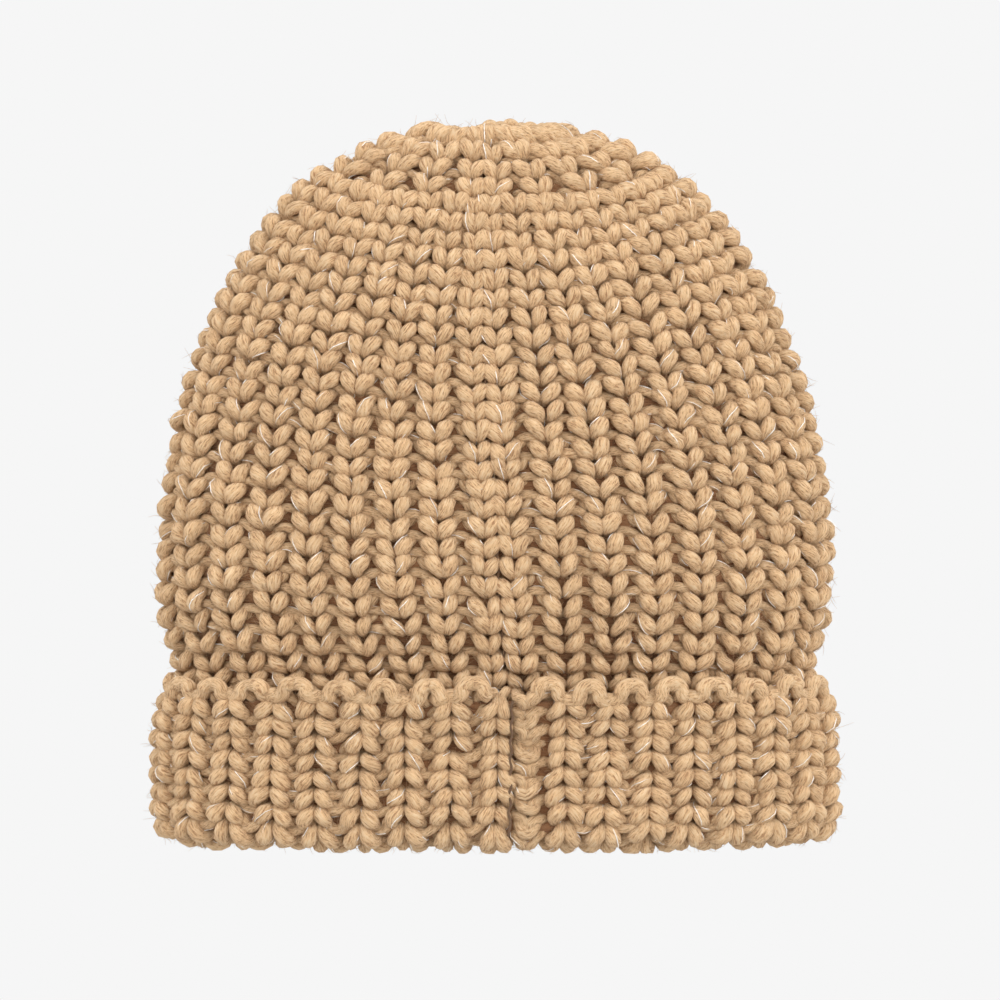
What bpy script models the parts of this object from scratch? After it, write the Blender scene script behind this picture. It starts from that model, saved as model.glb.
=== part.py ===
"""Chunky rib-knit beanie with a turned-up cuff and a sewn centre seam.

Plain closed solids stand for the knitted fabric and its yarn parts. Metres, +Z
towards the crown. The hat stands on the fold of its cuff, its face with the seam
looks towards -Y, and the origin is the middle of its box, on the surface.
"""
import math

import bmesh
import bpy
from mathutils import Vector

OBJECT_NAME = "rib_knit_beanie"

# Driving dimensions
HAT_HEIGHT = 0.2205         # cuff fold to the gathered top
FABRIC = 0.0072             # thickness of the rib fabric
LAYER_GAP = 0.0004          # between the turned-up cuff and the fabric behind it
PART_GAP = 0.0003           # between neighbouring solids

CUFF_HALF_WIDTH = 0.1045    # outside of the cuff, along X
CUFF_HALF_DEPTH = 0.0400    # outside of the cuff, along Y
CUFF_HEIGHT = 0.0555        # fold to the cast-on edge
FOLD_RADIUS = 0.0060        # rounding on each side of the fold
FOLD_LEDGE_Z = 0.0105       # top of the inner leg of the fold

BODY_HALF_WIDTH = 0.1025    # at the widest height above the cuff
BODY_HALF_DEPTH = 0.0375
BODY_WIDEST_Z = 0.085
TUCK_HEIGHT = 0.029         # the body narrows over this height to slip behind the cuff
CROWN_START_Z = 0.165       # where the stitches start to be gathered

# Shoulder curve of the crown: (1 - t ** rise) ** fullness, t from the widest height up
WIDTH_RISE, WIDTH_FULLNESS = 1.85, 0.41
DEPTH_RISE, DEPTH_FULLNESS = 1.30, 0.50

EDGE_RADIUS = 0.0034        # cast-on edge bead on top of the cuff
EDGE_INSET = 0.0036         # its axis under the cuff's face
SEAM_RADIUS = 0.0022        # seam ridge inside the hat
SEAM_X = 0.0015
SEAM_TOP_Z = 0.196
CUFF_SEAM_RADIUS = 0.0016   # seam yarn laid in a channel on the cuff
CUFF_SEAM_X = 0.0050
CUFF_SEAM_INSET = 0.0016    # depth of its axis under the cuff's face, so that it lies flush
TIE_RING_RADIUS = 0.0050    # drawn-up gathering yarn under the top
TIE_YARN_RADIUS = 0.0011
TIE_Z = 0.2076

# Mesh density
OVAL_STEPS = 56
BODY_RINGS = 12
CROWN_RINGS = 13
ARC_STEPS = 4
YARN_STEPS = 24

FABRIC_LOOK = {"colour": (0.560, 0.368, 0.192, 1.0), "roughness": 0.90}
EDGE_LOOK = {"colour": (0.600, 0.400, 0.215, 1.0), "roughness": 0.90}
SEAM_LOOK = {"colour": (0.430, 0.270, 0.135, 1.0), "roughness": 0.85}


# ---------------------------------------------------------------- scene helpers

def clear_scene():
    for old in list(bpy.data.objects):
        bpy.data.objects.remove(old, do_unlink=True)


def new_collection(name):
    collection = bpy.data.collections.new(name)
    bpy.context.scene.collection.children.link(collection)
    return collection


def make_material(name, look):
    material = bpy.data.materials.new(name)
    material.use_nodes = True
    shader = material.node_tree.nodes["Principled BSDF"]
    shader.inputs["Base Color"].default_value = look["colour"]
    shader.inputs["Roughness"].default_value = look["roughness"]
    shader.inputs["Metallic"].default_value = 0.0
    return material


def place(obj, collection, look):
    """Put an object in its collection, with a material of its own."""
    for home in list(obj.users_collection):
        home.objects.unlink(obj)
    collection.objects.link(obj)
    obj.data.materials.clear()
    obj.data.materials.append(make_material(obj.name + "_yarn", look))


# ---------------------------------------------------------------- hat outline

def rise_above_widest(z, inset):
    """0 at the widest height and 1 at the top of a layer that lies inset under the outside."""
    return min(max((z - BODY_WIDEST_Z) / (HAT_HEIGHT - inset - BODY_WIDEST_Z), 0.0), 1.0)


def tuck(z, widest, behind_cuff):
    """Size below the widest height, where the body slips in behind the cuff."""
    t = min(max((BODY_WIDEST_Z - z) / TUCK_HEIGHT, 0.0), 1.0)
    return widest - (widest - behind_cuff) * t ** 2


def half_width(z, inset=0.0):
    t = rise_above_widest(z, inset)
    behind_cuff = CUFF_HALF_WIDTH - FABRIC - LAYER_GAP
    lower = tuck(z, BODY_HALF_WIDTH, behind_cuff) - inset
    return lower * (1.0 - t ** WIDTH_RISE) ** WIDTH_FULLNESS


def half_depth(z, inset=0.0):
    t = rise_above_widest(z, inset)
    behind_cuff = CUFF_HALF_DEPTH - FABRIC - LAYER_GAP
    lower = tuck(z, BODY_HALF_DEPTH, behind_cuff) - inset
    return lower * (1.0 - t ** DEPTH_RISE) ** DEPTH_FULLNESS


# ---------------------------------------------------------------- oval lofts

def oval_ring(bm, width, depth, z):
    ring = []
    for step in range(OVAL_STEPS):
        angle = 2.0 * math.pi * step / OVAL_STEPS
        ring.append(bm.verts.new((width * math.cos(angle), depth * math.sin(angle), z)))
    return ring


def join_rings(bm, upper, lower):
    """Faces between two rings, facing out where the lower ring follows the upper one."""
    for step in range(OVAL_STEPS):
        after = (step + 1) % OVAL_STEPS
        bm.faces.new((upper[step], lower[step], lower[after], upper[after]))


def close_to_point(bm, ring, z, facing_up):
    tip = bm.verts.new((0.0, 0.0, z))
    for step in range(OVAL_STEPS):
        after = (step + 1) % OVAL_STEPS
        corners = (ring[step], ring[after], tip) if facing_up else (ring[after], ring[step], tip)
        bm.faces.new(corners)


def finish_mesh(name, bm, collection, look):
    mesh = bpy.data.meshes.new(name)
    bm.to_mesh(mesh)
    bm.free()
    mesh.shade_smooth()
    mesh.set_sharp_from_angle(angle=math.radians(40.0))
    obj = bpy.data.objects.new(name, mesh)
    place(obj, collection, look)
    return obj


def loft_tube(name, sections, collection, look):
    """Closed oval tube: sections are (half width, half depth, z), down the outside and up the inside."""
    bm = bmesh.new()
    rings = [oval_ring(bm, *section) for section in sections]
    for index, ring in enumerate(rings):
        join_rings(bm, ring, rings[(index + 1) % len(rings)])
    return finish_mesh(name, bm, collection, look)


# ---------------------------------------------------------------- fabric parts

def make_body_wall(collection):
    """Oval tube from the ledge of the fold up to the start of the crown."""
    bottom = FOLD_LEDGE_Z + PART_GAP
    tucked = BODY_WIDEST_Z - TUCK_HEIGHT
    top = CROWN_START_Z - PART_GAP / 2.0
    heights = [bottom, 0.5 * (bottom + tucked)]
    heights += [tucked + (top - tucked) * step / BODY_RINGS for step in range(BODY_RINGS + 1)]
    outside = [(half_width(z), half_depth(z), z) for z in reversed(heights)]
    inside = [(half_width(z, FABRIC), half_depth(z, FABRIC), z) for z in heights]
    return loft_tube("body_wall", outside + inside, collection, FABRIC_LOOK)


def crown_sections(inset):
    """Sections from the crown's rim to just under its tip, closer together near the tip."""
    bottom = CROWN_START_Z + PART_GAP / 2.0
    tip = HAT_HEIGHT - inset
    sections = []
    for step in range(CROWN_RINGS):
        z = bottom + (tip - bottom) * math.sin(0.5 * math.pi * step / CROWN_RINGS)
        sections.append((half_width(z, inset), half_depth(z, inset), z))
    return sections


def make_crown(collection):
    """Gathered dome: an outer and an inner skin, joined at the rim."""
    bm = bmesh.new()
    outer = [oval_ring(bm, *section) for section in crown_sections(0.0)]
    inner = [oval_ring(bm, *section) for section in crown_sections(FABRIC)]
    for lower, upper in zip(outer, outer[1:]):
        join_rings(bm, upper, lower)
    for lower, upper in zip(inner, inner[1:]):
        join_rings(bm, lower, upper)
    join_rings(bm, outer[0], inner[0])
    close_to_point(bm, outer[-1], HAT_HEIGHT, facing_up=True)
    close_to_point(bm, inner[-1], HAT_HEIGHT - FABRIC, facing_up=False)
    return finish_mesh("crown", bm, collection, FABRIC_LOOK)


def fold_arc(centre_inset, start, stop):
    """Quarter round of the fold, as (inset, z) points."""
    points = []
    for step in range(ARC_STEPS + 1):
        angle = math.radians(start + (stop - start) * step / ARC_STEPS)
        inset = centre_inset - FOLD_RADIUS * math.cos(angle)
        points.append((inset, FOLD_RADIUS + FOLD_RADIUS * math.sin(angle)))
    return points


def make_turn_up_cuff(collection, cutters):
    """J-shaped wall: the outer layer, the rounded fold and a ledge that carries the body."""
    fold_width = 2.0 * FABRIC + LAYER_GAP
    top = CUFF_HEIGHT - 2.0 * EDGE_RADIUS - PART_GAP
    profile = [(0.0, top), (0.0, 0.5 * top)]
    profile += fold_arc(FOLD_RADIUS, 0.0, -90.0)
    profile += fold_arc(fold_width - FOLD_RADIUS, -90.0, -180.0)
    profile += [(fold_width, FOLD_LEDGE_Z), (FABRIC, FOLD_LEDGE_Z), (FABRIC, 0.5 * top), (FABRIC, top)]
    sections = [(CUFF_HALF_WIDTH - inset, CUFF_HALF_DEPTH - inset, z) for inset, z in profile]
    cuff = loft_tube("turn_up_cuff", sections, collection, FABRIC_LOOK)

    channel = seam_cylinder("cuff_seam_channel", CUFF_SEAM_RADIUS + PART_GAP, 0.0110, top + 0.004)
    place(channel, cutters, SEAM_LOOK)
    channel.hide_render = True
    channel.display_type = 'WIRE'
    cut = cuff.modifiers.new("seam_channel", 'BOOLEAN')
    cut.operation = 'DIFFERENCE'
    cut.object = channel
    return cuff


# ---------------------------------------------------------------- yarn parts

def seam_cylinder(name, radius, bottom, top):
    """Upright cylinder let into the cuff's face where the cuff is sewn shut."""
    face_y = -CUFF_HALF_DEPTH * math.sqrt(1.0 - (CUFF_SEAM_X / CUFF_HALF_WIDTH) ** 2)
    bpy.ops.mesh.primitive_cylinder_add(
        vertices=16, radius=radius, depth=top - bottom,
        location=(CUFF_SEAM_X, face_y + CUFF_SEAM_INSET, 0.5 * (top + bottom)))
    obj = bpy.context.object
    obj.name = name
    return obj


def make_cuff_seam(collection):
    top = CUFF_HEIGHT - 2.0 * EDGE_RADIUS - PART_GAP
    seam = seam_cylinder("cuff_seam", CUFF_SEAM_RADIUS, 0.0113, top)
    place(seam, collection, SEAM_LOOK)
    return seam


def yarn_curve(name, points, radius, closed, collection, look):
    curve = bpy.data.curves.new(name, 'CURVE')
    curve.dimensions = '3D'
    curve.bevel_depth = radius
    curve.bevel_resolution = 2
    curve.use_fill_caps = not closed
    spline = curve.splines.new('POLY')
    spline.points.add(len(points) - 1)
    for knot, point in zip(spline.points, points):
        knot.co = (*point, 1.0)
    spline.use_cyclic_u = closed
    obj = bpy.data.objects.new(name, curve)
    place(obj, collection, look)
    return obj


def make_cast_on_edge(collection):
    """Bead of cast-on loops on top of the cuff, just clear of the body."""
    z = CUFF_HEIGHT - EDGE_RADIUS
    points = []
    for step in range(OVAL_STEPS):
        angle = 2.0 * math.pi * step / OVAL_STEPS
        points.append(((CUFF_HALF_WIDTH - EDGE_INSET) * math.cos(angle),
                       (CUFF_HALF_DEPTH - EDGE_INSET) * math.sin(angle), z))
    return yarn_curve("cast_on_edge", points, EDGE_RADIUS, True, collection, EDGE_LOOK)


def behind_face(z, stand_off):
    """Point inside the hat, stand_off square to the inner face, on the seam line."""
    delta = 0.0005
    slope = (half_depth(z + delta, FABRIC) - half_depth(z - delta, FABRIC)) / (2.0 * delta)
    length = math.hypot(1.0, slope)
    y = -half_depth(z, FABRIC) + stand_off / length
    return Vector((SEAM_X, y, z + stand_off * slope / length))


def make_back_seam(collection):
    """Ridge of the sewn selvedges, down the inside from the crown to the fold."""
    bottom = FOLD_LEDGE_Z + 2.0 * SEAM_RADIUS
    stand_off = SEAM_RADIUS + 2.0 * PART_GAP
    heights = [bottom + (SEAM_TOP_Z - bottom) * step / YARN_STEPS for step in range(YARN_STEPS + 1)]
    points = [behind_face(z, stand_off) for z in heights]
    return yarn_curve("back_seam", points, SEAM_RADIUS, False, collection, SEAM_LOOK)


def make_crown_tie(collection):
    """Small ring of gathering yarn, drawn up under the top."""
    bpy.ops.mesh.primitive_torus_add(
        major_radius=TIE_RING_RADIUS, minor_radius=TIE_YARN_RADIUS,
        major_segments=YARN_STEPS, minor_segments=8, location=(0.0, 0.0, TIE_Z))
    tie = bpy.context.object
    tie.name = "crown_tie"
    tie.data.shade_smooth()
    place(tie, collection, SEAM_LOOK)
    return tie


def main():
    clear_scene()
    parts = new_collection(OBJECT_NAME)
    cutters = new_collection("cutters")
    make_crown(parts)
    make_body_wall(parts)
    make_turn_up_cuff(parts, cutters)
    make_cast_on_edge(parts)
    make_back_seam(parts)
    make_cuff_seam(parts)
    make_crown_tie(parts)


main()
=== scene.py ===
"""Looks of a chunky rib-knit beanie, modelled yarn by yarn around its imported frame.

Every course of the 1x1 rib is one yarn that runs round the hat as a chain of knit
and purl loops. The loops lie on a smooth fabric surface: crown, body, fold, cuff.
"""
import math

import bpy
import numpy as np
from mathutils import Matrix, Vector


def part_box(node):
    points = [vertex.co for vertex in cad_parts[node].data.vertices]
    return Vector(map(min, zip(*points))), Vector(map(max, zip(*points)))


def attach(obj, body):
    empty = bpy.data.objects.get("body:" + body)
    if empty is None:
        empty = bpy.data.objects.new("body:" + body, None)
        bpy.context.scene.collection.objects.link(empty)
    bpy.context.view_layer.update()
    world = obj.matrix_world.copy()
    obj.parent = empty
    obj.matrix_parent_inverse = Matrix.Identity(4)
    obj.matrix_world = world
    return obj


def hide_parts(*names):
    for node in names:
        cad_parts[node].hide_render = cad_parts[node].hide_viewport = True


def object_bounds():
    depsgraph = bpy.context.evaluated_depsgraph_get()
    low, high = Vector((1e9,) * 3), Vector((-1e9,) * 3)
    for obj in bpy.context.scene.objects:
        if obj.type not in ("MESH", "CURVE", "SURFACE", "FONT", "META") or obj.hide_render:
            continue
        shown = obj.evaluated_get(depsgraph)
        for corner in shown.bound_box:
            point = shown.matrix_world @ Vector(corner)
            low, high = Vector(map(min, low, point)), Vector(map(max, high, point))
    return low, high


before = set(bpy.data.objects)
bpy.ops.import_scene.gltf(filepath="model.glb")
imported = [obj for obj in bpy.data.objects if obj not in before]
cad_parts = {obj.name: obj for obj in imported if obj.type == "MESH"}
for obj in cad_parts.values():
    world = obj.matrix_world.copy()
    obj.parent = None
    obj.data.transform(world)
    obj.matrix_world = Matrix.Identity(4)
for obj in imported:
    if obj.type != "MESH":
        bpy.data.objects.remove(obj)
CAD_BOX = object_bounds()
MM = 0.001
RNG = np.random.default_rng(36)

# ---------------------------------------------------------------- sizes, in millimetres

def high_corner(box):
    """Highest corner of a box of the frame, in millimetres."""
    return np.array(box[1]) / MM


HAT_TOP = high_corner(CAD_BOX)[2]
SHELF_Z = 0.05                  # underside of everything
YARN = 1.85                     # radius of the yarn
HALF_FABRIC = 4.6               # from the middle of the rib fabric to its outside
LAYER_STEP = 8.6                # between the middles of the cuff and the layer behind it
TIP_Z = HAT_TOP - HALF_FABRIC   # middle of the fabric at the very top
TIP_GAP = 0.01                  # how far under it the first course has to stay

BODY_WIDTH, BODY_DEPTH = high_corner(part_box("body_wall"))[:2]     # half sizes where it is widest
WIDEST_Z = 85.0
WIDTH_RISE, WIDTH_FULLNESS = 1.85, 0.385    # roundness of the shoulder from the front
DEPTH_RISE, DEPTH_FULLNESS = 1.30, 0.50     # and from the side
TUCK_Z = 57.0                   # the body slips in behind the cuff here
TUCK_BULGE = 2.0                # how far it stands out there from the layer behind the cuff
TUCK_LENGTH = 14.0              # height over which that bulge is lost

CUFF_WIDTH, CUFF_DEPTH = high_corner(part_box("turn_up_cuff"))[:2]
EDGE_HEIGHT = 6.2               # room for the cast-on loops
CUFF_TOP = high_corner(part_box("cast_on_edge"))[2] - EDGE_HEIGHT
CUFF_FLARE = 4.5                # how far the front and back of the cuff's edge stand off
CUFF_LEAN = 3.0                 # how far its sides lean in at the edge
FLARE_Z = 25.0                  # the cuff is straight below this height

WALES = 36                      # knit ribs round the hat
LEFT_STRETCH = 0.60             # how far the ribs left of the seam are drawn apart, in pitches
RIGHT_STRETCH = 0.80            # the same on the right, in the body only
SEAM_GAP = 0.62                 # rib pitches between the two ribs at the seam
GIRTH = WALES - 1 + SEAM_GAP    # rib pitches round the hat
RIGHT_REACH = 6.0               # ribs right of the seam that are drawn apart
RIGHT_EASE = 12.0               # rib up to which they give back some of that
RIGHT_KEPT = 0.6                # and the share that is left there
LEFT_REACH = 9.0                # ribs left of the seam that are drawn apart
SEAM_X = (-4.2, -3.2, 3.0, 5.0)     # the seam at the tip, shoulder, tuck and cast-on edge
SHOULDER_SHARE = 0.45           # share of the body's courses above the shoulder
SLIP = 0.5                      # rib pitches that the ribs slip by behind the cuff
SLIP_SHARE = 0.4                # share of the hem's courses in which they do
BODY_ROW = 5.75                 # height of a course in the body
CUFF_ROW = 5.32                 # and in the cuff
HEM_RISE = 0.6                  # room for the yarn under the fold
CORNER_LIFT = 1.8               # how far the fold rises at its two ends
CORNER_SHARPNESS = 12           # how close to the ends that stays
CORNER_HEIGHT = 9.0             # height at which it has faded
MERGE_ROW = 4.7                 # above this course, two ribs become one
SMILE = 0.5                     # how far a course rises towards the sides of the crown
TINY = 1e-9                     # keeps a length from being zero


# ---------------------------------------------------------------- fabric surface

def spread_evenly(points, count):
    """Resample a polyline to count points at equal arc length."""
    steps = np.linalg.norm(np.diff(points, axis=0), axis=1)
    length = np.concatenate([[0.0], np.cumsum(steps)])
    wanted = np.linspace(0.0, length[-1], count)
    return np.stack([np.interp(wanted, length, axis) for axis in points.T], axis=1)


def shoulder(z, rise, fullness):
    """Size at a height, as a share of the size at the widest height."""
    t = np.clip((z - WIDEST_Z) / (TIP_Z - WIDEST_Z), 0.0, 1.0)
    return (1.0 - t ** rise) ** fullness


def body_size(z):
    """Half width and half depth of the middle of the fabric at a height of the body."""
    tuck = np.clip((WIDEST_Z - z) / (WIDEST_Z - TUCK_Z), 0.0, 1.0) ** 2
    inner_width = CUFF_WIDTH - HALF_FABRIC - LAYER_STEP
    inner_depth = CUFF_DEPTH - HALF_FABRIC - LAYER_STEP
    width = BODY_WIDTH - HALF_FABRIC
    depth = BODY_DEPTH - HALF_FABRIC
    width = width + (inner_width + TUCK_BULGE - width) * tuck
    depth = depth + (inner_depth + TUCK_BULGE - depth) * tuck
    return (width * shoulder(z, WIDTH_RISE, WIDTH_FULLNESS),
            depth * shoulder(z, DEPTH_RISE, DEPTH_FULLNESS))


FOLD_POINTS = 13                # on the half circle of the fold, with its two ends


def hem_profile():
    """(inset, z) down behind the cuff, round the fold and up the cuff to its edge."""
    turn = 0.5 * LAYER_STEP
    low = turn + HALF_FABRIC + HEM_RISE
    points = [(LAYER_STEP - TUCK_BULGE, TUCK_Z), (LAYER_STEP, TUCK_Z - TUCK_LENGTH),
              (LAYER_STEP, low)]
    for angle in np.linspace(0.0, math.pi, FOLD_POINTS)[1:-1]:
        points.append((turn + turn * math.cos(angle), low - turn * math.sin(angle)))
    points += [(0.0, low), (0.0, CUFF_TOP)]
    return np.array(points)


class Fabric:
    """Middle of the fabric as a grid over courses and rib pitches.

    Courses count from the tip to the cast-on edge, and rib pitches from the seam.
    """

    FINE = 12                                   # grid rows for each course
    ROUND = 8                                   # grid columns for each rib pitch
    BODY_POINTS = 1500                          # on the profile of the body
    HEM_POINTS = 400                            # on the profile of the hem
    TURN_POINTS = 1441                          # on each course, before it is spread evenly
    EXTRA_ROWS = 1.5                            # above the edge, for the cast-on loops

    def __init__(self):
        self.measure_body()
        self.measure_hem()
        self.rows = self.body_rows + self.hem_rows
        outside = np.argmax(self.hem[:, 0] < 0.5 * LAYER_STEP) / len(self.hem)
        self.fold_row = self.body_rows + outside * self.hem_rows
        self.lay_grid()

    def measure_body(self):
        heights = TIP_Z - (TIP_Z - TUCK_Z) * np.linspace(0, 1, self.BODY_POINTS) ** 2
        width, depth = body_size(heights)
        front = np.hypot(np.diff(depth), np.diff(heights))
        side = np.hypot(np.diff(width), np.diff(heights))
        self.heights = heights
        self.front = np.concatenate([[0.0], np.cumsum(front)])
        self.side = np.concatenate([[0.0], np.cumsum(side)])
        self.body_rows = self.front[-1] / BODY_ROW

    def measure_hem(self):
        self.hem = spread_evenly(hem_profile(), self.HEM_POINTS)
        length = np.linalg.norm(np.diff(hem_profile(), axis=0), axis=1).sum()
        self.hem_rows = round(length / CUFF_ROW)

    def course_curve(self, row, angle):
        """Points of one course, for angles round the hat."""
        if row <= self.body_rows:
            share = row / self.body_rows
            front_z = np.interp(share * self.front[-1], self.front, self.heights)
            side_z = np.interp(share * self.side[-1], self.side, self.heights)
            lift = SMILE * (side_z - front_z) * np.cos(angle) ** 2
            z = np.minimum(front_z + lift, TIP_Z - TIP_GAP)
            width, depth = body_size(z)
        else:
            share = (row - self.body_rows) / self.hem_rows
            place = share * (len(self.hem) - 1)
            inset, z = [np.interp(place, np.arange(len(self.hem)), axis) for axis in self.hem.T]
            outside = inset < 0.5 * LAYER_STEP
            up = np.clip((z - FLARE_Z) / (CUFF_TOP - FLARE_Z), 0.0, 1.0) * outside
            width = CUFF_WIDTH - HALF_FABRIC - inset - CUFF_LEAN * up ** 2
            depth = CUFF_DEPTH - HALF_FABRIC - inset + CUFF_FLARE * up ** 2
            # the corners of the fold are rounded
            fade = math.exp(-(z / CORNER_HEIGHT) ** 2)
            z = z + CORNER_LIFT * np.cos(angle) ** CORNER_SHARPNESS * fade
        return np.stack([width * np.cos(angle), depth * np.sin(angle), z], axis=1)

    def seam_x(self, row):
        """Where the seam crosses the face of the hat."""
        knots = [0.0, SHOULDER_SHARE * self.body_rows, self.body_rows, self.rows]
        return np.interp(row, knots, SEAM_X)

    def rib_shift(self, row):
        """How far the ribs slip behind the cuff, so that they line up again on its outside."""
        t = np.clip((row - self.body_rows) / (SLIP_SHARE * self.hem_rows), 0.0, 1.0)
        return SLIP * t * t * (3.0 - 2.0 * t)

    def uneven_ribs(self, row):
        """Rib positions, drawn apart on both sides of the seam and closer at the back."""
        behind = (row - self.body_rows) / (self.fold_row - self.body_rows)
        in_body = 1.0 - np.clip(behind, 0.0, 1.0)
        right = RIGHT_STRETCH * in_body * min(row / MERGE_ROW, 1.0)
        even = [0.0, RIGHT_REACH, RIGHT_EASE, GIRTH - LEFT_REACH, GIRTH]
        drawn = [0.0, RIGHT_REACH + right, RIGHT_EASE + RIGHT_KEPT * right,
                 GIRTH - LEFT_REACH - LEFT_STRETCH, GIRTH]
        return np.interp(self.columns, even, drawn)

    def lay_grid(self):
        self.grid_rows = np.arange(0.0, self.rows + self.EXTRA_ROWS, 1.0 / self.FINE)
        self.columns = np.linspace(0.0, GIRTH, round(GIRTH * self.ROUND), endpoint=False)
        angle = np.linspace(-1.5 * math.pi, 0.5 * math.pi, self.TURN_POINTS)
        grid, pitch = [], []
        for row in self.grid_rows:
            curve = self.course_curve(min(row, self.rows), angle)
            if row > self.rows:
                curve[:, 2] += (row - self.rows) * CUFF_ROW
            steps = np.linalg.norm(np.diff(curve, axis=0), axis=1)
            length = np.concatenate([[0.0], np.cumsum(steps)])
            front = np.interp(-0.5 * math.pi, angle, length) + self.seam_x(row)
            pitch.append(length[-1] / GIRTH)
            wanted = (front + self.uneven_ribs(row) * pitch[-1]) % length[-1]
            grid.append(np.stack([np.interp(wanted, length, axis) for axis in curve.T], axis=1))
        self.grid = np.array(grid)
        self.pitch = np.array(pitch)
        around = np.roll(self.grid, -1, axis=1) - np.roll(self.grid, 1, axis=1)
        down = np.gradient(self.grid, axis=0)
        normal = np.cross(down, around)
        size = np.linalg.norm(normal, axis=2, keepdims=True)
        self.normal = normal / np.maximum(size, TINY)

    def pitch_at(self, row):
        return np.interp(row, self.grid_rows, self.pitch)

    def look_up(self, table, row, column):
        """Bilinear reading of a grid table, wrapping round the hat."""
        r = np.clip(row * self.FINE, 0.0, len(self.grid_rows) - 1.001)
        c = (column % GIRTH) / GIRTH * len(self.columns)
        r0, c0 = r.astype(int), c.astype(int) % len(self.columns)
        fr, fc = (r - r0)[..., None], (c - np.floor(c))[..., None]
        c1 = (c0 + 1) % len(self.columns)
        top = table[r0, c0] * (1 - fc) + table[r0, c1] * fc
        low = table[r0 + 1, c0] * (1 - fc) + table[r0 + 1, c1] * fc
        return top * (1 - fr) + low * fr

    def place(self, row, column, out):
        """Points at a course, a rib position and a height above the fabric's middle."""
        middle = self.look_up(self.grid, row, column)
        return middle + self.look_up(self.normal, row, column) * out[..., None]


# ---------------------------------------------------------------- stitches

# Left half of a knit loop, from the sinker to the middle of the head: across in mm, up in
# courses, out in mm, thickness as a share of the yarn's. Out is towards the right side of
# the fabric: away from the head in the body and towards it in the cuff, which is turned.
BODY_LOOP = np.array([
    (-3.3, -0.55, 0.0, 0.90),
    (-2.3, -0.45, -1.2, 0.86),
    (-1.1, -0.16, -1.0, 0.80),
    (-1.1, 0.06, 2.0, 0.98),
    (-1.85, 0.28, 3.2, 1.24),
    (-2.85, 0.53, 3.0, 1.26),
    (-3.35, 0.79, 0.4, 0.98),
    (-2.2, 1.00, -1.8, 0.86),
    (0.0, 1.08, -2.3, 0.84),
])
CUFF_LOOP = np.array([
    (-3.4, -0.55, 0.0, 0.90),
    (-2.4, -0.46, -1.2, 0.88),
    (-1.3, -0.22, -1.0, 0.88),
    (-1.35, 0.04, 1.6, 1.06),
    (-2.3, 0.25, 3.0, 1.28),
    (-3.35, 0.49, 2.7, 1.28),
    (-3.75, 0.76, 0.3, 1.02),
    (-2.4, 1.00, -1.5, 0.88),
    (0.0, 1.08, -1.8, 0.86),
])
# Left half of a cast-on loop: across in rib pitches, up in courses, the rest as above
EDGE_LOOP = np.array([
    (-0.50, -0.40, -1.6, 1.14),
    (-0.36, -0.45, -2.0, 1.20),
    (-0.25, -0.20, -2.3, 1.26),
    (-0.22, 0.04, -2.4, 1.30),
    (-0.12, 0.24, -2.2, 1.28),
    (0.0, 0.26, -1.9, 1.24),
])
LOOP_PITCH = 9.6                # rib pitch under which the loops are squeezed together
LEAST_SPREAD = 0.72             # and the most that they are squeezed
PURL_SINK = 1.10                # how far the purl ribs lie back
CUFF_PURL_SINK = 0.7            # the same in the cuff
PURL_SLANT = 0.045              # courses per mm that the purl strands rise to the left
PURL_THIN = 0.95                # how much thinner their yarn is drawn
SEAM_SQUEEZE = 0.80             # width of the stitches beside the seam
LOOSE_ROWS = 3.0                # courses above the cuff that are worked loosely
LOOSE_WIDEN = 0.03              # how much wider their stitches are
LOOSE_THIN = 0.07               # and how much thinner their yarn
LOOP_SAMPLES = 2                # samples between two points of the loop
EDGE_SAMPLES = 3                # the same for a cast-on loop
SEAM_SAMPLES = 4                # and for the sewing yarn
SELVEDGE_TURN = 0.05            # rib pitches that the end of a course runs on into the seam
SELVEDGE_DEPTH = 3.2            # mm that it turns in
SELVEDGE_THICKNESS = 0.7

# The half rib of the cuff that is left beside the seam
HALF_RIB_SHIFT = 0.41           # rib pitches towards the seam
HALF_RIB_WIDTH = 0.64
HALF_RIB_STAND = 1.2            # mm that it stands out of the cuff
HALF_RIB_THICKNESS = 1.08
HALF_RIB_UNEVEN_SLANT = 0.05
HALF_RIB_UNEVEN_STAND = 0.5
AFTER_HALF_RIB = 2.6            # mm that the next stitch starts further in

# Standard deviations of the hand knitting, for a whole stitch and for each of its points
UNEVEN_WIDTH = 0.07
UNEVEN_SLANT = 0.012            # courses per mm
UNEVEN_PLACE = 0.32             # mm sideways
UNEVEN_LEAN = 0.38              # mm sideways for each course up
UNEVEN_RISE = 0.06              # courses
UNEVEN_STAND = 0.28             # mm outwards
UNEVEN_THICKNESS = 0.045
POINT_ACROSS = 0.18             # mm
POINT_OUT = 0.22                # mm
POINT_THICKNESS = 0.06

# The same for the cast-on loops
EDGE_UNEVEN_WIDTH = 0.08
EDGE_UNEVEN_PLACE = 0.03        # rib pitches
EDGE_UNEVEN_HEIGHT = 0.12
EDGE_UNEVEN_RISE = 0.07         # courses
EDGE_UNEVEN_STAND = 0.3         # mm
EDGE_UNEVEN_THICKNESS = 0.07


def mirrored(half):
    """A whole loop from its left half, without the point that the next loop starts with."""
    return np.vstack([half, half[-2:0:-1] * (-1.0, 1.0, 1.0, 1.0)])


def whole_loop(half, purl, sink):
    """A knit loop, or seen from its back and sunk in, a purl loop."""
    loop = mirrored(half)
    if purl:
        loop = loop * (1.0, 1.0, -1.0, 1.0)
        loop[:, 2] -= sink
    return loop


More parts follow.
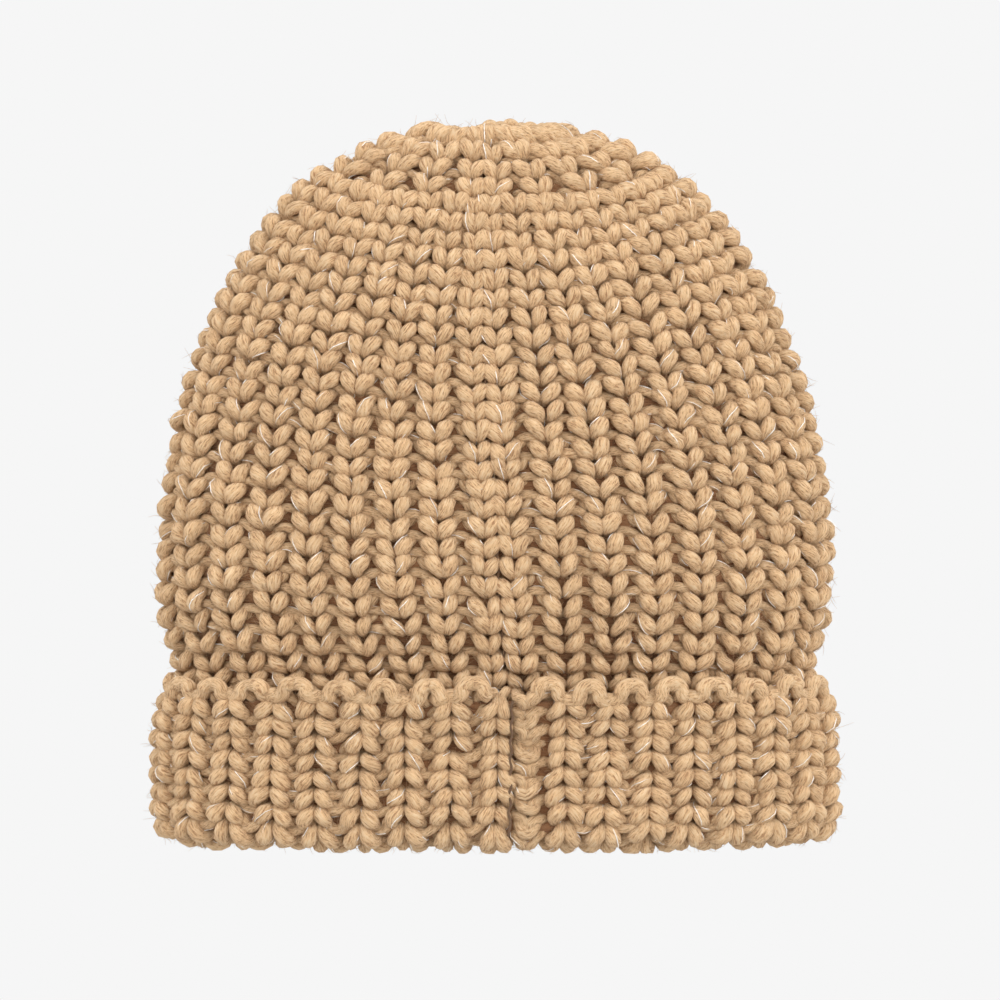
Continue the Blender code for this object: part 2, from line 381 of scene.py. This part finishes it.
def smooth(points, samples):
    """Catmull-Rom curve through points along axis 0, ends held."""
    padded = np.concatenate([points[:1], points, points[-1:]])
    p0, p1, p2, p3 = padded[:-3], padded[1:-2], padded[2:-1], padded[3:]
    out = []
    for step in range(samples):
        t = step / samples
        out.append(0.5 * (2 * p1 + (p2 - p0) * t + (2 * p0 - 5 * p1 + 4 * p2 - p3) * t ** 2
                          + (3 * p1 - p0 - 3 * p2 + p3) * t ** 3))
    curve = np.stack(out, axis=1).reshape(-1, points.shape[1])
    return np.concatenate([curve, points[-1:]])


def selvedge(points, inward):
    """Both ends of a course turn in to the seam."""
    ends = points[[0, -1]].copy()
    ends[:, 0] += (-SELVEDGE_TURN, SELVEDGE_TURN)
    ends[:, 2] = SELVEDGE_DEPTH * inward
    ends[:, 3] = SELVEDGE_THICKNESS
    return np.concatenate([ends[:1], points, ends[1:]])


def make_uneven(loop, wide, slant, loose):
    """Give one stitch the size, slant and thickness that its knitter happened to give it."""
    loop[:, 0] = (loop[:, 0] * wide + RNG.normal(0.0, UNEVEN_PLACE)
                  + loop[:, 1] * RNG.normal(0.0, UNEVEN_LEAN))
    loop[:, 0] += RNG.normal(0.0, POINT_ACROSS, len(loop))
    loop[:, 1] += RNG.normal(0.0, UNEVEN_RISE) + loop[:, 0] * slant
    loop[:, 2] += RNG.normal(0.0, UNEVEN_STAND) + RNG.normal(0.0, POINT_OUT, len(loop))
    thickness = (1.0 - LOOSE_THIN * loose) * RNG.normal(1.0, UNEVEN_THICKNESS)
    loop[:, 3] *= thickness * RNG.normal(1.0, POINT_THICKNESS, len(loop))


def stitch_row(fabric, row, ribs):
    """One course as points on the fabric: rows of (course, rib position, out, thickness)."""
    cuff = row > fabric.fold_row
    half = CUFF_LOOP if cuff else BODY_LOOP
    unit = GIRTH / (ribs - 1 + SEAM_GAP)
    pitch = fabric.pitch_at(row)
    shift = fabric.rib_shift(row)
    spread = np.clip(unit * pitch / LOOP_PITCH, LEAST_SPREAD, 1.0)
    count = 2 * ribs - (2 if cuff else 1)
    loose = 0.0 if cuff else np.clip(row - (fabric.body_rows - LOOSE_ROWS), 0.0, 1.0)
    points = []
    for stitch in range(count):
        # the cuff shows the back of the fabric, so its knit stitches are the sunken ones
        loop = whole_loop(half, stitch % 2, 0.0 if cuff else PURL_SINK)
        if cuff and stitch % 2 == 0:
            loop[:, 2] += CUFF_PURL_SINK
        centre = unit * (0.5 * SEAM_GAP + 0.5 * stitch)
        wide = (1.0 + LOOSE_WIDEN * loose) * spread * RNG.normal(1.0, UNEVEN_WIDTH)
        slant = RNG.normal(0.0, UNEVEN_SLANT)
        if cuff and stitch == 0:
            centre -= HALF_RIB_SHIFT
            wide *= HALF_RIB_WIDTH
            slant = RNG.normal(0.0, HALF_RIB_UNEVEN_SLANT)
            loop[:, 2] -= CUFF_PURL_SINK + HALF_RIB_STAND + RNG.normal(0.0, HALF_RIB_UNEVEN_STAND)
            loop[:, 3] *= HALF_RIB_THICKNESS
        elif stitch in (0, count - 1):
            wide *= SEAM_SQUEEZE
        elif (stitch % 2 == 0) == cuff:
            slant -= PURL_SLANT * RNG.uniform(0.2, 1.8)
            loop[:, 3] *= PURL_THIN
        make_uneven(loop, wide, slant, loose)
        loop[0, 0] = -0.25 * unit * pitch       # where the stitch before it ends
        if cuff and stitch == 1:
            loop[:2, 2] += AFTER_HALF_RIB
        loop[:, 0] = centre + loop[:, 0] / pitch + shift
        points.append(loop)
    points = selvedge(np.concatenate(points), 1.0 if cuff else -1.0)
    path = smooth(points, LOOP_SAMPLES)
    path[:, 1] = row - path[:, 1]
    return path[:, [1, 0, 2, 3]]


# Rate along the courses, number of turns round the hat and phase of each wave
WAVES = [(RNG.uniform(0.12, 0.45), RNG.integers(2, 9), RNG.uniform(0.0, 2.0 * math.pi))
         for _ in range(8)]
WANDER_UP = 0.055               # courses
WANDER_ACROSS = 0.035           # rib pitches
WANDER_APART = (31.0, 5.0)      # courses and pitches between the two places they are read at


def wander(row, column, size):
    """Slow, uneven drift of the stitches over the fabric."""
    total = np.zeros_like(row)
    for rate, turns, phase in WAVES:
        total += np.sin(rate * row + turns * 2.0 * math.pi * column / GIRTH + phase)
    return size * total / math.sqrt(len(WAVES))


def edge_loops(fabric):
    """Cast-on edge: a short, fat n-shaped loop over every gap between two ribs of the cuff."""
    points = []
    for rib in range(WALES - 1):
        turn = mirrored(EDGE_LOOP)
        centre = rib + 0.5 + 0.5 * SEAM_GAP
        turn[:, 0] = (centre + turn[:, 0] * RNG.normal(1.0, EDGE_UNEVEN_WIDTH)
                      + RNG.normal(0.0, EDGE_UNEVEN_PLACE))
        turn[:, 1] = (fabric.rows + turn[:, 1] * RNG.normal(1.0, EDGE_UNEVEN_HEIGHT)
                      + RNG.normal(0.0, EDGE_UNEVEN_RISE))
        turn[:, 2] += RNG.normal(0.0, EDGE_UNEVEN_STAND)
        turn[:, 3] *= RNG.normal(1.0, EDGE_UNEVEN_THICKNESS, len(turn))
        points.append(turn)
    path = smooth(np.concatenate(points), EDGE_SAMPLES)
    return path[:, [1, 0, 2, 3]]


# ---------------------------------------------------------------- yarn as tubes

YARN_SIDES = 9                  # corners of the yarn's section
YARN_TWIST = 0.16               # radians per mm that its fibres turn
YARN_LOBES = 0.05               # how far its two plies stand out
YARN_APART = 1000.0             # between two yarns' places in the pattern of the fibres
THIN_SIDES = 3                  # corners of a thread's or hair's section
ANY_DIRECTION = (0.3, 0.2, 1.0)     # along which no yarn starts


def length_along(path):
    """Length of each path up to each of its points."""
    steps = np.linalg.norm(np.diff(path, axis=1), axis=2)
    return np.concatenate([np.zeros((len(path), 1)), np.cumsum(steps, axis=1)], axis=1)


def frames_along(path):
    """Two directions square to each path, carried along without twisting.

    path is (yarns, points, 3).
    """
    tangent = np.gradient(path, axis=1)
    tangent /= np.maximum(np.linalg.norm(tangent, axis=2, keepdims=True), TINY)
    side = np.cross(tangent[:, 0], ANY_DIRECTION)
    side /= np.linalg.norm(side, axis=1, keepdims=True)
    sides = np.empty_like(path)
    for step in range(path.shape[1]):
        along = tangent[:, step]
        side = side - along * np.sum(side * along, axis=1, keepdims=True)
        side /= np.maximum(np.linalg.norm(side, axis=1, keepdims=True), TINY)
        sides[:, step] = side
    return sides, np.cross(tangent, sides)


def sweep(path, radius, sides, twist, lobes=0.0):
    """Rings round each path, with the coordinates that the yarn's fibres follow."""
    side, other = frames_along(path)
    along = length_along(path)
    angle = 2.0 * math.pi * np.arange(sides) / sides
    turned = angle[None, None, :] + twist * along[:, :, None]
    swell = radius[:, :, None] * (1.0 + lobes * np.cos(2.0 * turned))
    ring = (side[:, :, None, :] * np.cos(angle)[None, None, :, None]
            + other[:, :, None, :] * np.sin(angle)[None, None, :, None])
    points = path[:, :, None, :] + ring * swell[..., None]
    points[..., 2] = np.maximum(points[..., 2], SHELF_Z)     # pressed flat where the fold rests
    fibre = np.stack([np.broadcast_to(along[:, :, None], turned.shape),
                      np.cos(turned), np.sin(turned)], axis=-1)
    return points, fibre


def sweep_yarn(path, radius):
    """Rings of a knitting or sewing yarn: two plies, twisted."""
    return sweep(path, radius, YARN_SIDES, YARN_TWIST, YARN_LOBES)


def tube_mesh(name, points, fibre):
    """Mesh of closed tubes from rings: points is (yarns, rings, sides, 3)."""
    yarns, rings, sides, _ = points.shape
    index = np.arange(yarns * rings * sides).reshape(yarns, rings, sides)
    after = np.roll(index, -1, axis=2)
    quads = np.stack([index[:, :-1], after[:, :-1], after[:, 1:], index[:, 1:]], axis=-1)
    quads = quads.reshape(-1, 4)
    caps = np.concatenate([index[:, 0, ::-1], index[:, -1]])
    mesh = bpy.data.meshes.new(name)
    mesh.vertices.add(index.size)
    mesh.vertices.foreach_set("co", (points * MM).astype(np.float32).ravel())
    corners = np.concatenate([quads.ravel(), caps.ravel()])
    sizes = np.concatenate([np.full(len(quads), 4), np.full(len(caps), sides)])
    mesh.loops.add(len(corners))
    mesh.loops.foreach_set("vertex_index", corners.astype(np.int32))
    mesh.polygons.add(len(sizes))
    mesh.polygons.foreach_set("loop_start", (np.cumsum(sizes) - sizes).astype(np.int32))
    attribute = mesh.attributes.new("fibre", 'FLOAT_VECTOR', 'POINT')
    attribute.data.foreach_set("vector", fibre.astype(np.float32).ravel())
    mesh.update(calc_edges=True)
    mesh.validate()
    mesh.shade_smooth()
    return mesh


def add_piece(name, mesh, material, slot_name, *nodes):
    """Put a mesh into the scene as a piece of the hat, in place of any CAD nodes named."""
    obj = bpy.data.objects.new(name, mesh)
    bpy.context.scene.collection.objects.link(obj)
    mesh.materials.append(material)
    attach(obj, "root")
    if nodes:
        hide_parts(*nodes)


# ---------------------------------------------------------------- materials

# Noise position and colour of the wool, from the gaps between its fibres to their tips
WOOL = [(0.400, (0.400, 0.200, 0.086)), (0.46, (0.700, 0.442, 0.228)),
        (0.53, (0.800, 0.530, 0.288)), (0.60, (0.825, 0.602, 0.366))]
SHADES = [(0.32, (0.87, 0.84, 0.81)), (0.62, (1.0, 1.0, 1.0))]      # slow change of tone
SILVER = [(0.36, (0.74, 0.62, 0.48)), (0.56, (0.98, 0.95, 0.90))]
STRAND_SCALE = (0.70, 4.6, 4.6)     # of the noise: along the yarn, and twice across it
SHADE_SCALE = (0.10, 0.6, 0.6)
GLITTER_SCALE = (1.4, 1.0, 1.0)
BUMP_DEPTH = 0.0013                 # metres
# Painted highlight: the loose fibres are drawn lighter than the yarn, for the light that they
# catch
FUZZ_HIGHLIGHT_TINT = (1.08, 1.08, 1.08)
# Painted shade: the sheet in the middle of the fabric is dark, for the shade in the gaps between
# the yarns
SHADE_SHEET_TINT = (0.46, 0.32, 0.235)
# Painted shade: the sewing yarn is dark, for the shade in the crevice of the seam
SEAM_SHADE_TINT = (0.26, 0.19, 0.15)


def noise_layer(nodes, links, source, scale, detail):
    """Noise in the fibre coordinates, stretched by scale."""
    stretch = nodes.new("ShaderNodeMapping")
    stretch.inputs["Scale"].default_value = scale
    links.new(source, stretch.inputs["Vector"])
    noise = nodes.new("ShaderNodeTexNoise")
    noise.inputs["Scale"].default_value = 1.0
    noise.inputs["Detail"].default_value = detail
    noise.inputs["Roughness"].default_value = 0.7
    links.new(stretch.outputs["Vector"], noise.inputs["Vector"])
    return noise.outputs["Fac"]


def colour_ramp(nodes, links, source, stops):
    """Colours for a value, from (position, colour) stops in rising order."""
    ramp = nodes.new("ShaderNodeValToRGB")
    ramp.color_ramp.elements[0].position = stops[0][0]
    ramp.color_ramp.elements[0].color = (*stops[0][1], 1.0)
    ramp.color_ramp.elements[1].position = stops[-1][0]
    ramp.color_ramp.elements[1].color = (*stops[-1][1], 1.0)
    for position, colour in stops[1:-1]:
        ramp.color_ramp.elements.new(position).color = (*colour, 1.0)
    links.new(source, ramp.inputs["Fac"])
    return ramp.outputs["Color"]


def multiply(nodes, links, first, second):
    mix = nodes.new("ShaderNodeMix")
    mix.data_type = 'RGBA'
    mix.blend_type = 'MULTIPLY'
    mix.inputs["Factor"].default_value = 1.0
    links.new(first, mix.inputs["A"])
    links.new(second, mix.inputs["B"])
    return mix.outputs["Result"]


def yarn_material(name, tint=(1.0, 1.0, 1.0)):
    """Loosely spun wool: streaks of fibres along the yarn, a slow change of tone, soft sheen."""
    material = bpy.data.materials.new(name)
    material.use_nodes = True
    nodes, links = material.node_tree.nodes, material.node_tree.links
    shader = nodes["Principled BSDF"]
    shader.inputs["Roughness"].default_value = 0.92
    shader.inputs["Sheen Weight"].default_value = 0.25
    shader.inputs["Sheen Roughness"].default_value = 0.5
    shader.inputs["Sheen Tint"].default_value = (1.0, 0.80, 0.58, 1.0)

    fibre = nodes.new("ShaderNodeAttribute")
    fibre.attribute_name = "fibre"
    strands = noise_layer(nodes, links, fibre.outputs["Vector"], STRAND_SCALE, 7.0)
    tone = noise_layer(nodes, links, fibre.outputs["Vector"], SHADE_SCALE, 3.0)
    stops = [(position, tuple(c * t for c, t in zip(colour, tint))) for position, colour in WOOL]
    wool = colour_ramp(nodes, links, strands, stops)
    shade = colour_ramp(nodes, links, tone, SHADES)
    links.new(multiply(nodes, links, wool, shade), shader.inputs["Base Color"])

    bump = nodes.new("ShaderNodeBump")
    bump.inputs["Strength"].default_value = 1.0
    bump.inputs["Distance"].default_value = BUMP_DEPTH
    links.new(strands, bump.inputs["Height"])
    links.new(bump.outputs["Normal"], shader.inputs["Normal"])
    return material


def thread_material():
    """Thin silvery thread spun in with the wool."""
    material = bpy.data.materials.new("silver_thread")
    material.use_nodes = True
    nodes, links = material.node_tree.nodes, material.node_tree.links
    shader = nodes["Principled BSDF"]
    shader.inputs["Metallic"].default_value = 0.25
    shader.inputs["Roughness"].default_value = 0.32
    fibre = nodes.new("ShaderNodeAttribute")
    fibre.attribute_name = "fibre"
    glitter = noise_layer(nodes, links, fibre.outputs["Vector"], GLITTER_SCALE, 1.0)
    silver = colour_ramp(nodes, links, glitter, SILVER)
    links.new(silver, shader.inputs["Base Color"])
    return material


# ---------------------------------------------------------------- the knitted pieces

THREAD_RADIUS = 0.15
THREAD_TWIST = 0.15             # radians per mm that it winds round the yarn
THREAD_HEIGHT = 0.92            # from the middle of the yarn, as a share of its radius
THREAD_WAVE = (0.12, 0.60)      # how far it sinks in and comes out, and radians per mm
THREAD_DRIFT = (0.06, 0.13)     # the same, more slowly
THREAD_STARTS = 6.28            # radians round the yarn that it may start in

FIBRES = 3400                   # loose fibres on a whole course
FIBRE_REACH = (0.7, 2.3)        # mm, least and most
FIBRE_STRAY = 0.45              # how far a fibre's tip strays, as a share of its reach
FIBRE_OUT = 0.75                # how far it stands off the yarn, as the same share
FIBRE_ALONG = 1.1               # and how far it runs along it
FIBRE_KNOTS = (-0.15, 0.45, 1.0)        # root, middle and tip
FIBRE_RADII = (0.065, 0.055, 0.025)     # at each of them
FIBRE_APART = 7.0               # between two fibres' places in the pattern


def thread_round(path, radius):
    """A thin thread wound round the yarn, sinking in and coming out again."""
    side, other = frames_along(path)
    along = length_along(path)
    start = RNG.uniform(0.0, THREAD_STARTS, (len(path), 1))
    angle = THREAD_TWIST * along + start
    wave = THREAD_WAVE[0] * np.sin(THREAD_WAVE[1] * along + 2.0 * start)
    drift = THREAD_DRIFT[0] * np.sin(THREAD_DRIFT[1] * along + start)
    height = radius * (THREAD_HEIGHT + wave + drift)
    turn = side * np.cos(angle)[..., None] + other * np.sin(angle)[..., None]
    return path + turn * height[..., None]


def loose_fibres(path, rings, count):
    """Short fibres standing off the yarn, as (fibres, 3, 3) curves."""
    yarns, steps, sides, _ = rings.shape
    yarn = RNG.integers(0, yarns, count)
    step = RNG.integers(1, steps - 1, count)
    side = RNG.integers(0, sides, count)
    base = rings[yarn, step, side]
    out = base - path[yarn, step]
    out /= np.linalg.norm(out, axis=1, keepdims=True)
    along = path[yarn, step + 1] - path[yarn, step - 1]
    along /= np.maximum(np.linalg.norm(along, axis=1, keepdims=True), TINY)
    along *= RNG.choice([-1.0, 1.0], (count, 1))
    reach = RNG.uniform(*FIBRE_REACH, (count, 1))
    stray = RNG.normal(0.0, FIBRE_STRAY, (count, 3))
    points = []
    for t in FIBRE_KNOTS:
        bend = out * (FIBRE_OUT * t) + along * (FIBRE_ALONG * t) + stray * t * t
        points.append(base + reach * bend)
    return np.stack(points, axis=1)


def knit_courses(number, fabric, rows, ribs, looks):
    """A few courses as one piece, with their silver thread and their loose fibres."""
    stitches = np.array([stitch_row(fabric, row, ribs) for row in rows])
    course, column = stitches[..., 0], stitches[..., 1]
    course = course + wander(course, column, WANDER_UP)
    column = column + wander(course + WANDER_APART[0], column + WANDER_APART[1], WANDER_ACROSS)
    path = fabric.place(course, column, stitches[..., 2])
    radius = YARN * stitches[..., 3]
    rings, fibre = sweep_yarn(path, radius)
    fibre[..., 0] += YARN_APART * (number * 10 + np.arange(len(rows)))[:, None, None]
    mesh = tube_mesh(f"courses_{number:02d}", rings, fibre)
    add_piece(mesh.name, mesh, looks["yarn"], "knit_yarn")

    thread = thread_round(path, radius)
    thin = np.full(thread.shape[:2], THREAD_RADIUS)
    rings_thread, fibre = sweep(thread, thin, THIN_SIDES, 0.0)
    mesh = tube_mesh(f"thread_{number:02d}", rings_thread, fibre)
    add_piece(mesh.name, mesh, looks["thread"], "knit_yarn")

    hairs = loose_fibres(path, rings, FIBRES * len(rows) * ribs // WALES)
    taper = np.broadcast_to(np.array(FIBRE_RADII), hairs.shape[:2])
    rings_hair, fibre = sweep(hairs, taper, THIN_SIDES, 0.0)
    fibre[..., 0] += FIBRE_APART * np.arange(len(hairs))[:, None, None]
    mesh = tube_mesh(f"fuzz_{number:02d}", rings_hair, fibre)
    add_piece(mesh.name, mesh, looks["fuzz"], "knit_yarn")


def single_yarn(name, fabric, stitches, look, slot_name, node):
    """A piece made of one yarn that follows the fabric and stands for a CAD node."""
    points = fabric.place(stitches[:, 0], stitches[:, 1], stitches[:, 2])[None]
    rings, fibre = sweep_yarn(points, YARN * stitches[None, :, 3])
    mesh = tube_mesh(name, rings, fibre)
    add_piece(name, mesh, look, slot_name, node)


CORE_TOP = 0.15                 # first course of the core
CORE_END = 0.5                  # courses that it stops short of the cuff's edge
CORE_STEP = 0.25                # courses between its points
CORE_COLUMNS = 240
CORE_HALF = 0.5                 # half its thickness
CORE_GRAIN = 0.5                # fibre coordinates per mm


def painted_shade_sheet(fabric, look):
    """A dark sheet in the middle of the fabric: painted shade, which fills the gaps between the
    yarns.
    """
    rows = np.arange(CORE_TOP, fabric.rows - CORE_END, CORE_STEP)
    columns = np.linspace(0.0, GIRTH, CORE_COLUMNS + 1)[:-1]
    row, column = np.meshgrid(rows, columns, indexing="ij")
    outer = fabric.place(row, column, np.full(row.shape, CORE_HALF))
    inner = fabric.place(row, column, np.full(row.shape, -CORE_HALF))
    around = np.concatenate([outer, inner[::-1]]).transpose(1, 0, 2)
    index = np.arange(around.shape[0] * around.shape[1]).reshape(around.shape[:2])
    after = np.roll(index, -1, axis=0)
    quads = np.stack([index, after, np.roll(after, -1, axis=1), np.roll(index, -1, axis=1)],
                     axis=-1)
    points = around.reshape(-1, 3)
    mesh = bpy.data.meshes.new("shade_sheet")
    mesh.from_pydata((points * MM).tolist(), [], quads.reshape(-1, 4).tolist())
    attribute = mesh.attributes.new("fibre", 'FLOAT_VECTOR', 'POINT')
    attribute.data.foreach_set("vector", (points * CORE_GRAIN).astype(np.float32).ravel())
    mesh.update()
    mesh.shade_smooth()
    add_piece("shade_sheet", mesh, look, "knit_yarn", "body_wall", "turn_up_cuff")


SEAM_STITCH = 0.5               # courses between two points of the sewing yarn
SEAM_SWING = 0.025              # rib pitches that it swings to either side
SEAM_THICKNESS = 0.22           # as a share of the knitting yarn's
# Where the sewing yarn starts and how far before the end it stops, both in courses, and
# how far out of the middle of the fabric it lies, in mm
BODY_SEAM = (2.5, 0.0, 2.6)     # from the tip to the tuck
CUFF_SEAM = (0.9, 0.3, -4.3)    # from the fold to the cast-on edge


def seam_stitches(first, last, out):
    """Sewing yarn drawn tight between the two selvedges, up the whole seam."""
    rows = np.arange(first, last, SEAM_STITCH)
    swing = np.where(np.arange(len(rows)) % 2, SEAM_SWING, -SEAM_SWING)
    height = np.full(len(rows), out)
    thickness = np.full(len(rows), SEAM_THICKNESS)
    return smooth(np.stack([rows, swing, height, thickness], axis=1), SEAM_SAMPLES)


TOP_POINTS = 30                 # on each strand and loop of the gathered top
TOP_THICKNESS = 0.98            # as a share of the yarn's
TOP_TAPER = 0.5                 # what is left of that at the ends
STRANDS = 7                     # laid side by side along the ridge
STRAND_ENDS = (-32.0, 29.0)
STRAND_UNEVEN = 3.0             # how far an end may be from there
STRAND_STEP = 2.1               # between two strands
STRAND_WAVE = (0.8, 0.22)       # mm to the sides, and radians per mm
STRAND_RIPPLE = (0.35, 0.33)    # the same up and down
STRAND_DROP = 3.9               # from the top of the hat to the middle of the highest strand
RIDGE_X = 3.0                   # where the ridge is highest
RIDGE_BEND = 0.0032             # how quickly it falls to its ends, per mm
RIDGE_FALL = 0.26               # how quickly the strands fall to its sides

# Short loops drawn up beside the strands: centre x and y, rise, and skew, all in mm
DRAWN_LOOPS = [(-1.5, -2.6, 0.4, 0.4), (4.6, -3.0, 0.7, -0.3), (10.6, -2.4, -0.2, 0.3),
               (1.6, 2.4, 0.3, -0.4), (8.0, 2.6, -0.1, 0.4)]
DRAWN_HALF = 3.0                # half the length of such a loop
DRAWN_BOW = 1.8                 # how far its ends bend away from the ridge
DRAWN_DROP = 1.6                # from the top of the hat to its middle
DRAWN_ARCH = 5.2                # from there down to its ends


def ridge_strand(number):
    """One strand along the ridge, falling to its ends and to the sides."""
    across = number - STRANDS // 2
    left, right = STRAND_ENDS
    x = np.linspace(left + RNG.uniform(-STRAND_UNEVEN, STRAND_UNEVEN),
                    right + RNG.uniform(-STRAND_UNEVEN, STRAND_UNEVEN), TOP_POINTS)
    y = STRAND_STEP * across + STRAND_WAVE[0] * np.sin(STRAND_WAVE[1] * x + number)
    ripple = STRAND_RIPPLE[0] * np.sin(STRAND_RIPPLE[1] * x + 2.0 * number)
    ridge = HAT_TOP - STRAND_DROP - RIDGE_BEND * (x - RIDGE_X) ** 2
    return np.stack([x, y, ridge - RIDGE_FALL * across ** 2 + ripple], axis=1)


def drawn_loop(centre_x, centre_y, rise, skew):
    """One short loop, arched up in the middle."""
    swing = np.linspace(-1.0, 1.0, TOP_POINTS)
    x = centre_x + DRAWN_HALF * swing
    y = centre_y + skew * swing - np.sign(-centre_y) * DRAWN_BOW * swing ** 2
    z = HAT_TOP - DRAWN_DROP + rise - DRAWN_ARCH * swing ** 2
    return np.stack([x, y, z], axis=1)


def top_yarns(look):
    """The gathered top: strands laid along the ridge, and the drawn-up loops beside them."""
    strands = [ridge_strand(number) for number in range(STRANDS)]
    path = np.array(strands + [drawn_loop(*loop) for loop in DRAWN_LOOPS])
    radius = YARN * np.full(path.shape[:2], TOP_THICKNESS)
    radius[:, [0, -1]] *= TOP_TAPER
    rings, fibre = sweep_yarn(path, radius)
    fibre[..., 0] += YARN_APART * np.arange(len(path))[:, None, None]
    mesh = tube_mesh("gathered_top", rings, fibre)
    add_piece("gathered_top", mesh, look, "knit_yarn", "crown", "crown_tie")


FIRST_COURSE = 0.6              # no course lies above this one
LAST_COURSE = 0.7               # courses between the last one and the cuff's edge
COURSES_IN_PIECE = 4


def build_courses(fabric, looks):
    """All the courses, from the tip to the cuff, a few to a piece."""
    courses = np.arange(fabric.rows - LAST_COURSE, FIRST_COURSE, -1.0)[::-1]
    sections = [(WALES // 2, courses[courses < MERGE_ROW]),
                (WALES, courses[(courses >= MERGE_ROW) & (courses <= fabric.fold_row)]),
                (WALES, courses[courses > fabric.fold_row])]
    number = 0
    for ribs, rows in sections:
        for start in range(0, len(rows), COURSES_IN_PIECE):
            number += 1
            knit_courses(number, fabric, rows[start:start + COURSES_IN_PIECE], ribs, looks)


def build_seam(fabric, look):
    """The sewing yarn of the body and of the cuff, drawn dark as painted shade for the crevice of
    the seam.
    """
    start, end, out = BODY_SEAM
    yarn = seam_stitches(start, fabric.body_rows - end, out)
    single_yarn("body_seam", fabric, yarn, look, "seam_yarn", "back_seam")
    start, end, out = CUFF_SEAM
    yarn = seam_stitches(fabric.fold_row + start, fabric.rows - end, out)
    single_yarn("cuff_seam_yarn", fabric, yarn, look, "seam_yarn", "cuff_seam")


def build_hat():
    fabric = Fabric()
    looks = {"yarn": yarn_material("camel_yarn"),
             # loose fibres, with a painted highlight
             "fuzz": yarn_material("camel_fuzz_painted_highlight", FUZZ_HIGHLIGHT_TINT),
             # painted shade in the gaps between the yarns
             "shade_sheet": yarn_material("camel_painted_shade", SHADE_SHEET_TINT),
             # painted shade in the crevice of the seam
             "seam": yarn_material("camel_seam", SEAM_SHADE_TINT),
             "thread": thread_material()}
    build_courses(fabric, looks)
    painted_shade_sheet(fabric, looks["shade_sheet"])
    edge = edge_loops(fabric)
    single_yarn("cast_on_loops", fabric, edge, looks["yarn"], "knit_yarn", "cast_on_edge")
    build_seam(fabric, looks["seam"])
    top_yarns(looks["yarn"])


# ---------------------------------------------------------------- floor, light and camera

FLOOR_WHITE = 0.9216
FLOOR_DROP = 0.0005             # metres under the hat
FLOOR_HALF = 4.0                # metres to either side
FLOOR_PROFILE = [(-3.0, 0.0), (0.8, 0.0), (1.4, 0.25), (1.6, 0.8), (1.6, 3.0)]      # y and z, m

WORLD_LIGHT = 1.69
LIGHT_TARGET = (0.0, 0.0, 0.11)
# name, place and side in metres, power in watts
LIGHTS = [("key", (-0.9, -1.3, 1.3), 1.0, 4.0),
          ("fill", (1.1, -1.4, 0.5), 1.2, 10.0)]

CAMERA_PLACE = (0.0015, -1.6, 0.1056)
FACE_NEARER = 0.02              # metres that the face of the hat is nearer than its middle
VIEW_WIDTH = 0.300              # metres across the view at that face
SENSOR = 36.0                   # mm


def flat_white(name, value):
    """A white that shows no shadow."""
    material = bpy.data.materials.new(name)
    material.use_nodes = True
    nodes, links = material.node_tree.nodes, material.node_tree.links
    nodes.clear()
    output = nodes.new("ShaderNodeOutputMaterial")
    glow = nodes.new("ShaderNodeEmission")
    glow.inputs["Color"].default_value = (value, value, value, 1.0)
    links.new(glow.outputs["Emission"], output.inputs["Surface"])
    return material


def build_stage():
    mesh = bpy.data.meshes.new("sweep")
    corners = [(x, y, z - FLOOR_DROP) for y, z in FLOOR_PROFILE for x in (-FLOOR_HALF, FLOOR_HALF)]
    faces = [(2 * i, 2 * i + 1, 2 * i + 3, 2 * i + 2) for i in range(len(FLOOR_PROFILE) - 1)]
    mesh.from_pydata(corners, [], faces)
    floor = bpy.data.objects.new("sweep", mesh)
    bpy.context.scene.collection.objects.link(floor)
    mesh.materials.append(flat_white("sweep_white", FLOOR_WHITE))


def area_light(name, place, size, power):
    lamp = bpy.data.lights.new(name, 'AREA')
    lamp.shape = 'SQUARE'
    lamp.size = size
    lamp.energy = power
    obj = bpy.data.objects.new(name, lamp)
    obj.location = place
    towards = Vector(LIGHT_TARGET) - Vector(place)
    obj.rotation_euler = towards.to_track_quat('-Z', 'Y').to_euler()
    bpy.context.scene.collection.objects.link(obj)


def build_light():
    world = bpy.data.worlds.new("studio")
    world.use_nodes = True
    background = world.node_tree.nodes["Background"]
    background.inputs["Color"].default_value = (1.0, 1.0, 1.0, 1.0)
    background.inputs["Strength"].default_value = WORLD_LIGHT
    bpy.context.scene.world = world
    for light in LIGHTS:
        area_light(*light)


def build_camera():
    camera = bpy.data.objects.new("camera", bpy.data.cameras.new("camera"))
    camera.location = CAMERA_PLACE
    camera.rotation_euler = (math.radians(90.0), 0.0, 0.0)
    camera.data.sensor_width = SENSOR
    camera.data.lens = SENSOR * (-CAMERA_PLACE[1] - FACE_NEARER) / VIEW_WIDTH
    bpy.context.scene.collection.objects.link(camera)
    bpy.context.scene.camera = camera


bpy.context.scene.view_settings.view_transform = 'Standard'
build_camera()
build_light()
build_stage()
build_hat()
